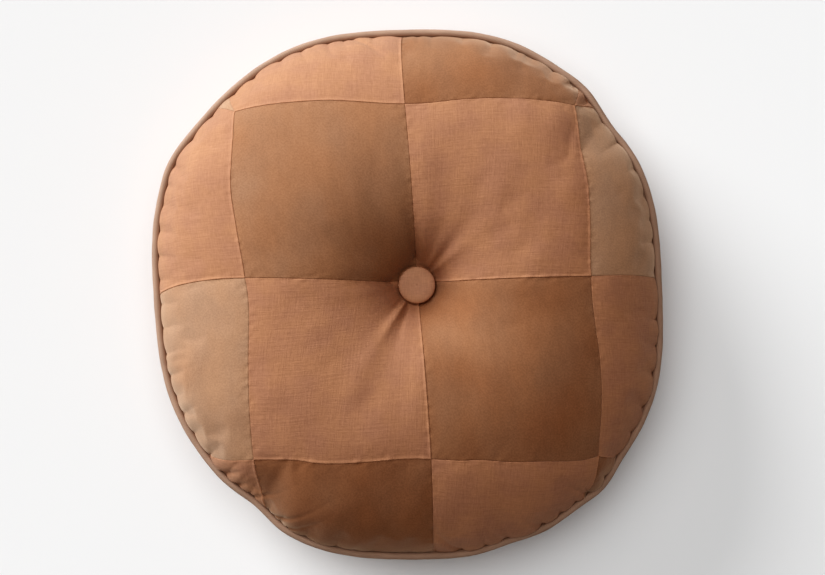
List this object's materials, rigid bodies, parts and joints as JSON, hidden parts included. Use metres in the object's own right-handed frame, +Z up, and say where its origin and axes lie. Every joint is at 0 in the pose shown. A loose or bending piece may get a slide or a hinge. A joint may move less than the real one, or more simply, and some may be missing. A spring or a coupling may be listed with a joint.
{
  "type": "floor cushion",
  "caption": "Round knife-edge floor cushion: patchwork top, piped edge, tufted centre held by a covered button on each side.",
  "frame": {"origin": "on the floor, under the middle of the cushion's outline", "axes": "+Z up, +X to the right and +Y away from the viewer when the top is seen with its button in the middle"},
  "size_m": [0.5372, 0.5572, 0.1643],
  "materials": {
    "linen": "plain-woven slubby linen, sand brown",
    "velvet": "short-pile cotton velvet, tobacco brown",
    "piping": "bias-cut cotton twill, taupe",
    "button_cloth": "fine linen stretched over a dome",
    "calico": "unbleached calico",
    "fibre": "carded polyester fibre",
    "cord": "three-strand cotton cord",
    "twine": "waxed nylon twine",
    "dome_metal": "stamped sheet",
    "steel": "nickel-plated steel"
  },
  "bodies": {
    "root": {"bottom_button_back_plate": "steel", "bottom_button_cloth": "button_cloth", "bottom_button_dome": "dome_metal", "bottom_button_wire_loop": "steel", "bottom_panel": "linen", "fibre_fill": "fibre", "insert_case_bottom": "calico", "insert_case_top": "calico", "linen_patch_row1_column2": "linen", "linen_patch_row1_column4": "linen", "linen_patch_row2_column1": "linen", "linen_patch_row2_column3": "linen", "linen_patch_row3_column2": "linen", "linen_patch_row3_column4": "linen", "linen_patch_row4_column1": "linen", "linen_patch_row4_column3": "linen", "piping_cord": "cord", "piping_cover": "piping", "top_button_back_plate": "steel", "top_button_cloth": "button_cloth", "top_button_dome": "dome_metal", "top_button_wire_loop": "steel", "tufting_twine": "twine", "twine_knot": "twine", "velvet_patch_row1_column1": "velvet", "velvet_patch_row1_column3": "velvet", "velvet_patch_row2_column2": "velvet", "velvet_patch_row2_column4": "velvet", "velvet_patch_row3_column1": "velvet", "velvet_patch_row3_column3": "velvet", "velvet_patch_row4_column2": "velvet", "velvet_patch_row4_column4": "velvet"}
  },
  "joints": []
}
